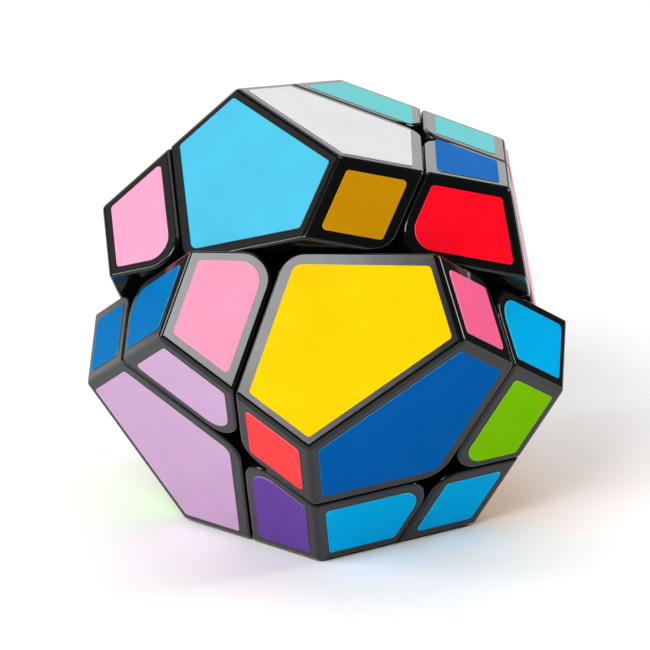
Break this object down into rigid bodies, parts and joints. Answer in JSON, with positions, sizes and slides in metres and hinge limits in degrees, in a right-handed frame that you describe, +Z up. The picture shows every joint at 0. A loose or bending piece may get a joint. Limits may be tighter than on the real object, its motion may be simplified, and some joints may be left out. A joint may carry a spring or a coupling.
{
  "type": "dodecahedron twisty puzzle",
  "caption": "Black dodecahedron twisty puzzle with coloured stickers, cut by planes through its centre and standing part-way through a turn.",
  "frame": {"origin": "centre of the pentagonal side that the puzzle rests on", "axes": "+Z up, square to the resting side; +Y from the front to the rear, square to one edge of the resting side; +X to the right"},
  "size_m": [0.084, 0.0839, 0.0762],
  "materials": {
    "cap": "polished injection-moulded black plastic",
    "inner_plastic": "as-moulded black plastic, lightly greased",
    "core_plastic": "as-moulded off-white plastic",
    "screw_steel": "zinc-plated",
    "washer_steel": "plain",
    "spring_steel": "drawn wire",
    "vinyl_yellow": "printed vinyl sticker with a low sheen, in the visual model only",
    "vinyl_blue": "printed vinyl sticker with a low sheen, in the visual model only",
    "vinyl_mid_blue": "printed vinyl sticker with a low sheen, in the visual model only",
    "vinyl_red": "printed vinyl sticker with a low sheen, in the visual model only",
    "vinyl_coral": "printed vinyl sticker with a low sheen, in the visual model only",
    "vinyl_pink": "printed vinyl sticker with a low sheen, in the visual model only",
    "vinyl_deep_pink": "printed vinyl sticker with a low sheen, in the visual model only",
    "vinyl_lavender": "printed vinyl sticker with a low sheen, in the visual model only",
    "vinyl_teal": "printed vinyl sticker with a low sheen, in the visual model only",
    "vinyl_sky": "printed vinyl sticker with a low sheen, in the visual model only",
    "vinyl_light_blue": "printed vinyl sticker with a low sheen, in the visual model only",
    "vinyl_white": "printed vinyl sticker with a low sheen, in the visual model only",
    "vinyl_gold": "printed vinyl sticker with a low sheen, in the visual model only",
    "vinyl_green": "printed vinyl sticker with a low sheen, in the visual model only",
    "vinyl_purple": "printed vinyl sticker with a low sheen, in the visual model only",
    "vinyl_orange": "printed vinyl sticker with a low sheen, in the visual model only"
  },
  "bodies": {
    "lower_half": {"core": "core_plastic", "axle_screw_pole": "screw_steel", "axle_screw_rear": "screw_steel", "axle_screw_left": "screw_steel", "axle_screw_right": "screw_steel", "spring_washer_pole": "washer_steel", "spring_washer_rear": "washer_steel", "spring_washer_left": "washer_steel", "spring_washer_right": "washer_steel", "tension_spring_rear": "spring_steel", "tension_spring_left": "spring_steel", "tension_spring_right": "spring_steel", "free_corner_cap_base": "cap", "free_corner_foot_base": "inner_plastic", "centre_cap_lower_base": "cap", "centre_foot_lower_base": "inner_plastic", "centre_cap_lower_left": "cap", "centre_foot_lower_left": "inner_plastic", "centre_cap_lower_front": "cap", "centre_foot_lower_front": "inner_plastic"},
    "upper_half": {"tension_spring_pole": "spring_steel", "free_corner_cap_left": "cap", "free_corner_foot_left": "inner_plastic", "free_corner_cap_right": "cap", "free_corner_foot_right": "inner_plastic", "free_corner_cap_rear": "cap", "free_corner_foot_rear": "inner_plastic", "centre_cap_upper_front": "cap", "centre_foot_upper_front": "inner_plastic", "centre_cap_upper_right": "cap", "centre_foot_upper_right": "inner_plastic", "centre_cap_upper_rear": "cap", "centre_foot_upper_rear": "inner_plastic"},
    "pole_corner": {"screwed_corner_cap_pole": "cap", "screwed_corner_base_pole": "inner_plastic"},
    "rear_corner": {"screwed_corner_cap_rear": "cap", "screwed_corner_base_rear": "inner_plastic"},
    "left_corner": {"screwed_corner_cap_left": "cap", "screwed_corner_base_left": "inner_plastic"},
    "right_corner": {"screwed_corner_cap_right": "cap", "screwed_corner_base_right": "inner_plastic"}
  },
  "joints": [
    {"name": "upper_half_twist", "type": "hinge", "parent": "lower_half", "child": "upper_half", "pos_m": [0, 0, 0.035], "axis": [0.1876, 0.5774, 0.7947], "continuous": true},
    {"name": "pole_corner_pull", "type": "slide", "parent": "upper_half", "child": "pole_corner", "axis": [0.1876, 0.5774, 0.7947], "range_m": [0, 0.0008], "stiffness_N_per_m": 930, "springref_m": -0.003, "deforming": ["tension_spring_pole"]},
    {"name": "rear_corner_pull", "type": "slide", "parent": "lower_half", "child": "rear_corner", "axis": [-0.1876, 0.5774, -0.7947], "range_m": [0, 0.0008], "stiffness_N_per_m": 930, "springref_m": -0.003, "deforming": ["tension_spring_rear"]},
    {"name": "left_corner_pull", "type": "slide", "parent": "lower_half", "child": "left_corner", "axis": [-0.7947, -0.5774, 0.1876], "range_m": [0, 0.0008], "stiffness_N_per_m": 930, "springref_m": -0.003, "deforming": ["tension_spring_left"]},
    {"name": "right_corner_pull", "type": "slide", "parent": "lower_half", "child": "right_corner", "axis": [0.7947, -0.5774, -0.1876], "range_m": [0, 0.0008], "stiffness_N_per_m": 930, "springref_m": -0.003, "deforming": ["tension_spring_right"]}
  ]
}
